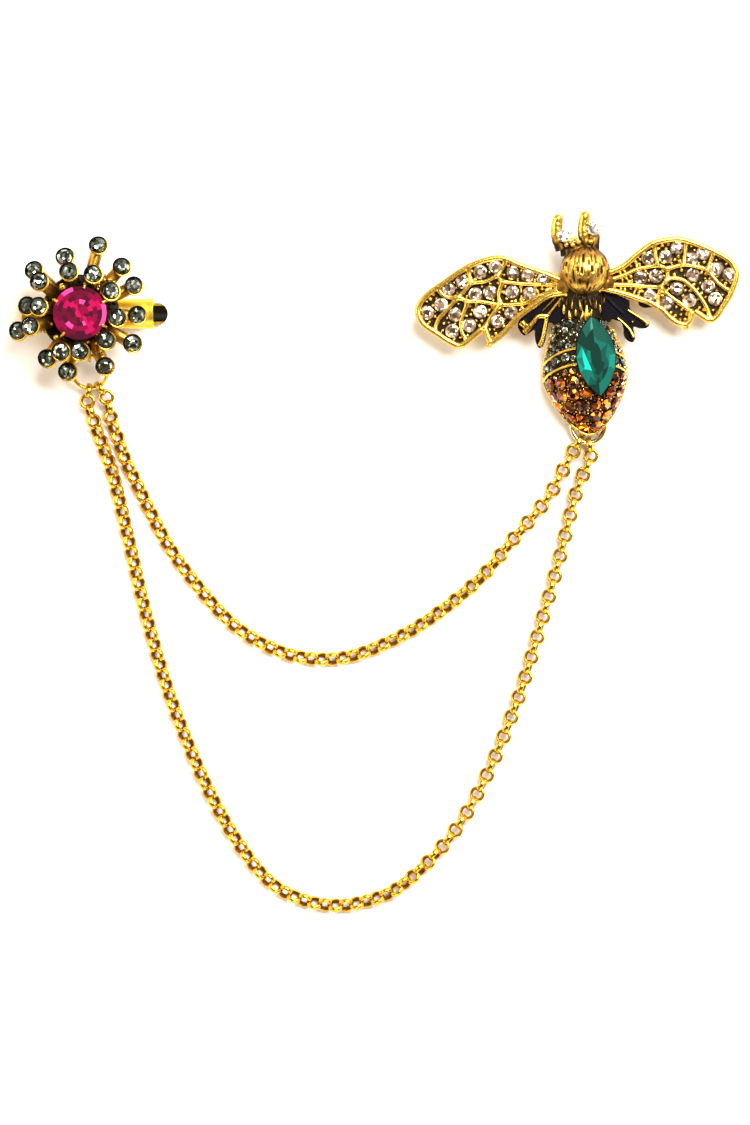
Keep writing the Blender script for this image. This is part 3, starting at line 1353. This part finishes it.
THORAX = BEE + np.array([-0.2, 0.0, 0.0]) * MM
COLUMNS, ALONG = 450, 128
# Columns of strokes round the ball, how many chances each has, and the strokes' depth in mm
STROKES, CHANCES, STROKE_DEPTH = 30, 9, 0.26
HAIRS, HAIR_DEPTH = 46, 0.07


def thorax():
    """The ball of the thorax with its strokes, and how deep each point lies in one."""
    across, along = np.meshgrid(np.arange(COLUMNS) / COLUMNS, np.linspace(0.02, 0.98, ALONG), indexing="xy")
    column = np.floor(across * STROKES).astype(int)
    chance = np.random.default_rng(8)

    def drawn(low, high):
        """A chance value for each stroke."""
        return chance.uniform(low, high, (STROKES, CHANCES))

    shift = drawn(-0.22, 0.22)
    count = chance.uniform(4.0, 7.0, STROKES)[column]
    v = along * count + chance.uniform(0, 1, STROKES)[column]
    step = np.floor(v).astype(int) % CHANCES
    v = v - np.floor(v) - 0.5
    u = across * STROKES - column - 0.5 - shift[column, step]
    wide = drawn(0.16, 0.4)[column, step]
    kept = (drawn(0, 1) > 0.4)[column, step]
    strong = kept * drawn(0.4, 1)[column, step]
    long = drawn(0.25, 0.5)[column, step]
    stroke = strong * np.exp(-((u / wide) ** 2)) * np.clip((long - np.abs(v)) / 0.16, 0, 1)
    sway = np.sin(along * 17 + 5 * np.sin(across * 40))
    hair = (0.5 + 0.5 * np.cos(across * 2 * math.pi * HAIRS + 1.2 * sway)) ** 2
    hair = hair * (0.5 + 0.5 * np.sin(along * 11 + 9 * np.sin(across * 23)))
    polar, turn = along * math.pi, across * 2 * math.pi
    out = np.stack([np.sin(polar) * np.sin(turn), -np.cos(polar), np.sin(polar) * np.cos(turn)], axis=-1)
    radius = (THORAX_R * 1.035 - STROKE_DEPTH * stroke - HAIR_DEPTH * hair) * MM
    rings = THORAX + out * radius[..., None]
    mesh = new_mesh("bee_thorax", skin([ring[::-1] for ring in rings]), smooth=True)
    x, y, z = (out * THORAX_R).transpose(2, 0, 1)
    low = np.clip((2.3 - z) * 0.24, 0, 0.8)
    brow = 0.3 * np.clip((y - 1.4) / 1.0, 0, 1)
    smudge = 0.75 * np.exp(-((x + 0.2) / 1.3) ** 2 - ((y + 1.7) / 0.5) ** 2)
    deep = np.clip(stroke * 0.95 + 0.16 * hair + low + smudge + brow, 0, 1)
    mark(mesh, "recess", np.concatenate([row[::-1] for row in deep]))
    return new_piece("bee_thorax", mesh, antique_gold)


thorax()

# %% [markdown]
# ## The flower's metal
#
# Each petal is a stalk that opens into a cup, like a golf tee, with a thin bright lip round its stone. A
# table of radii gives the cup, and a bar along a bent path the stalk. The cup of the middle stone is turned,
# and claws bend over its edge.

# %% Places and profiles of the flower, in mm

FLOWER = np.array([-45.6, 38.2, 0.0]) * MM
PLATE_TOP = 5.1
# Cup profile from the stalk to the lip and back inside: [height over the girdle, radius]
CUP = [
    (-2.0, 1.02), (-1.7, 1.06), (-1.35, 1.14), (-1.0, 1.24), (-0.7, 1.34), (-0.4, 1.43), (-0.1, 1.49),
    (0.06, 1.5), (0.12, 1.44), (0.12, 1.36), (0.05, 1.31), (-0.2, 1.28), (-0.5, 1.1), (-0.75, 0.6)]
LIP_R, FLARE = 1.4, 0.14
# A stalk starts the first length inwards of its stone, but at most the second from the flower's middle,
# and ends the third below the stone
FOOT_IN, FOOT_OUT, NECK_LOW = 2.6, 4.4, 1.95
STALK_R, STALK_SIDES = (0.9, 1.03), 16
# Stones nearer to the middle than this belong to the inner row
INNER_ROW = 7.5
# Hands and cloth rub the patina off on this side
RUBBED = unit([0.65, -0.75, 0.0])


def on_flower(x, y, z):
    """A place from the flower's middle, with its height over the surface."""
    return FLOWER + np.array([x, y, z]) * MM


# %% Petals


def cup_marks(inner, rub):
    """Recess marks for each ring of a cup, from how much each of its points faces the rubbed side."""
    lip = np.clip((0.3 if inner else 0.65) - 0.9 * rub, 0, 1)
    shafts = [np.clip(0.38 - 0.4 * rub - 0.1 * (z + 2), 0, 1) for z, _ in CUP]
    return [lip if z > -0.3 and r > 1.27 else shaft for (z, r), shaft in zip(CUP, shafts)]


def petal(solid):
    """A stalk that widens into the cup under one stone, and its recess marks."""
    middle, long, across, axis, _ = girdle_of(solid)
    circle = [math.cos(t) * long + math.sin(t) * across for t in turns_of(20)]
    rub = np.array([way @ RUBBED for way in circle])
    flare = FLARE * np.clip(rub, 0, 1)
    cup = []
    for z, r in CUP:
        wider = flare if r > LIP_R else flare * 0
        cup.append([middle + (axis * z + way * (r + more)) * MM for way, more in zip(circle, wider)])
    out = (middle - FLOWER) * [1, 1, 0]
    reach = np.linalg.norm(out)
    foot_r = min(reach - FOOT_IN * MM, FOOT_OUT * MM)
    foot = FLOWER + out / reach * foot_r + [0, 0, (PLATE_TOP - 0.2) * MM]
    neck = middle - axis * NECK_LOW * MM
    path = curve([foot, (foot + neck) / 2 + [0, 0, 0.25 * MM], neck], 4)
    stalk = bar(path, np.linspace(*STALK_R, len(path)) * MM, sides=STALK_SIDES)
    marks = cup_marks(reach < INNER_ROW * MM, rub)
    marks.append(np.repeat(np.linspace(0.6, 0.12, len(path)), STALK_SIDES))
    return joined([skin(cup), stalk]), np.concatenate(marks)


petals = [petal(solid) for solid in solids_of(petal_nodes)]
print(len(petals), "petals")

# %% Middle cup, plate, claws and eyelet, each with its recess mark

MIDDLE_CUP = [
    (0.3, 4.6), (2.4, 4.6), (2.9, 6.9), (3.8, 7.6), (3.95, 8.2), (3.9, 8.36), (3.7, 8.4), (3.5, 8.2),
    (2.6, 7.55), (0.3, 7.5)]
BACK_PLATE = [
    (0.3, 4.35), (5.8, 4.35), (6.0, 4.55), (6.0, 4.95), (5.85, 5.08), (4.6, 5.2), (3.0, 5.15), (0.3, 5.1)]
# A claw's line, from its root in the cup to its tip over the stone: [radius, height]
CLAW = [(3.5, 7.2), (4.2, 8.3), (4.45, 9.1), (4.35, 9.7), (3.8, 10.0)]
CLAW_TURNS = [80, 25, -28, -128, 153]
flower_parts = [(turned(MIDDLE_CUP, FLOWER), 0.95), (turned(BACK_PLATE, FLOWER), 1.0)]
for turn in CLAW_TURNS:
    line = curve([on_flower(*(towards(turn) * r), z) for r, z in CLAW], 4)
    flower_parts.append((bar(line, np.linspace(0.36, 0.2, len(line)) * MM, sides=12), 0.15))
flower_parts.append((eyelet(on_flower(1.4, -6.5, 3.6)), 0.2))
print(len(flower_parts), "parts besides the petals")

# %% Grains of the flower

# Dark ones on the plate fill the gaps between the stalks
for _ in range(110):
    turn, out = dice.uniform(0, 2 * math.pi), dice.uniform(3.6, 5.8)
    at = on_flower(out * math.cos(turn), out * math.sin(turn), 5.2 + 0.3 * dice.random())
    flower_parts.append((bead(at, dice.uniform(0.2, 0.34) * MM, sides=8), 0.75))
# Three of the gaps have bright ones: [turn, how many]
for turn, count in ((48, 26), (197, 12), (290, 8)):
    for _ in range(count):
        angle, out = math.radians(turn + dice.uniform(-15, 15)), dice.uniform(4.4, 7.2)
        at = on_flower(out * math.cos(angle), out * math.sin(angle), dice.uniform(5.6, 6.9))
        flower_parts.append((bead(at, dice.uniform(0.22, 0.42) * MM, sides=8), 0.15))
# Larger ones sit beside the middle cup: [place, radius]
for x, y, r in ((-2.65, 4.0, 0.6), (3.35, 3.0, 0.4), (2.7, -3.0, 0.4), (-3.6, -3.7, 0.45)):
    flower_parts.append((bead(on_flower(x, y, 8.5), r * MM), 0.1))

mesh = new_mesh("flower_metal", joined([part for part, _ in petals + flower_parts]), smooth=True)
marks = [marks for _, marks in petals] + [np.full(len(part[0]), value) for part, value in flower_parts]
mark(mesh, "recess", np.concatenate(marks))
new_piece("flower_metal", mesh, flower_gold, ["flower_setting"])

# %% [markdown]
# ## The clip's spring
#
# Between the two levers a coil spring sits round the hinge pin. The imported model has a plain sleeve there.
# A helix of wire takes its place, its turns all but touching.

# %% A helix of wire

SPRING_WIRE = 0.19 * MM
STEPS_PER_TURN = 20
low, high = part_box("clip_spring")
spring_mid = np.array((low + high) / 2)
coil_r = (high.x - low.x) / 2 - SPRING_WIRE
coil_len = high.y - low.y - 2 * SPRING_WIRE
coils = int(coil_len / (2.1 * SPRING_WIRE))
helix = []
for k in range(coils * STEPS_PER_TURN + 1):
    turn = 2 * math.pi * k / STEPS_PER_TURN
    along = (k / (coils * STEPS_PER_TURN) - 0.5) * coil_len
    helix.append(spring_mid + [coil_r * math.cos(turn), along, coil_r * math.sin(turn)])
spring = new_mesh("clip_coil", bar(helix, SPRING_WIRE, sides=8), smooth=True)
new_piece("clip_coil", spring, clip_gold, ["clip_spring"])
print(coils, "turns of spring")

# %% [markdown]
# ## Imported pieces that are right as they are
#
# The two halves of the clip, the brooch pin and both jump rings have plain round or sheet forms, which the
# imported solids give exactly. They only need their metal.

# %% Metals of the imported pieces

for node, metal in {
    "clip_upper": clip_gold, "clip_lower": lever_gold, "bee_pin": clip_gold,
    "flower_ring": chain_gold, "bee_ring": pale_gold,
}.items():
    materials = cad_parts[node].data.materials
    materials.clear()
    materials.append(metal)
    print(node, "wears", metal.name)

# %% [markdown]
# ## Surface, light and camera
#
# The jewel lies on a pale surface. The main light comes from the top and a little from the right, so the
# soft shadows fall down and a little to the left. Polished metal shows its surroundings more than its own
# colour: the bright walls low around it give the shine, and the dim ceiling above gives the browns.

# %% The surface

HALF_SIDE, FLOOR_Z = 1.5, -0.1 * MM
corners = np.array([[-1, -1, 0], [1, -1, 0], [1, 1, 0], [-1, 1, 0]]) * HALF_SIDE + [0, 0, FLOOR_Z]
floor_mesh = new_mesh("floor", (corners, [[0, 1, 2, 3]]), smooth=False)
floor = new_object("floor", floor_mesh)
paper, tree, shader = new_material("pale_paper")
tooth = add(tree, "ShaderNodeTexNoise", {"Scale": 900.0, "Detail": 2.0}).outputs[0]
feed(tree, shader, {
    "Base Color": mixed(tree, tooth, (0.90, 0.89, 0.87, 1), (0.94, 0.93, 0.92, 1)),
    "Roughness": 0.9,
    "Specular IOR Level": 0.1})
floor_mesh.materials.append(paper)
print("the floor is", 2 * HALF_SIDE, "m wide")

# %% The room

# Its colour from the horizon, at 0, to straight above, at 1
ROOM = [
    (0.0, (1.0, 0.975, 0.935)), (0.3, (1.0, 0.965, 0.91)), (0.55, (0.39, 0.32, 0.225)),
    (0.9, (0.13, 0.108, 0.085))]
world = bpy.data.worlds.new("studio")
bpy.context.scene.world = world
world.use_nodes = True
sky = world.node_tree
way = add(sky, "ShaderNodeTexCoord").outputs["Generated"]
height = add(sky, "ShaderNodeSeparateXYZ", {0: way}).outputs[2]
feed(sky, sky.nodes["Background"], {"Color": shade_at(sky, height, ROOM), "Strength": 0.88})
print("shades of the room:", len(ROOM))

# %% The lamps

WHITE, WARM = (1.0, 1.0, 1.0), (1.0, 0.86, 0.68)
# Each lamp: [name, place in metres, side of its panel in metres, power in watts, colour]
LAMPS = [
    ["key", (0.19, 0.29, 0.45), 0.40, 8.4, WHITE],
    ["fill", (-0.45, 0.10, 0.35), 0.40, 1.6, WARM],
    ["rim", (0.05, -0.50, 0.30), 0.30, 1.3, WARM],
]
for name, place, side, power, colour in LAMPS:
    lamp = bpy.data.lights.new(name, "AREA")
    lamp.size = side
    lamp.energy = power
    lamp.color = colour
    holder = new_object(name, lamp)
    holder.location = place
    holder.visible_camera = False
    holder.rotation_euler = (-Vector(place)).to_track_quat("-Z", "Y").to_euler()
print(len(LAMPS), "lamps")

# %% The camera

VIEW_MIDDLE = (-0.00031, -0.00008)
VIEW_HEIGHT = 0.17325
DISTANCE = 2.4
camera_data = bpy.data.cameras.new("camera")
camera_data.lens = camera_data.sensor_width * DISTANCE / VIEW_HEIGHT
camera_data.clip_start, camera_data.clip_end = 0.05, 20
camera = new_object("camera", camera_data)
camera.location = (*VIEW_MIDDLE, DISTANCE)
bpy.context.scene.camera = camera
bpy.context.scene.view_settings.view_transform = "Standard"
print(f"lens {camera_data.lens:.0f} mm at {DISTANCE} m")
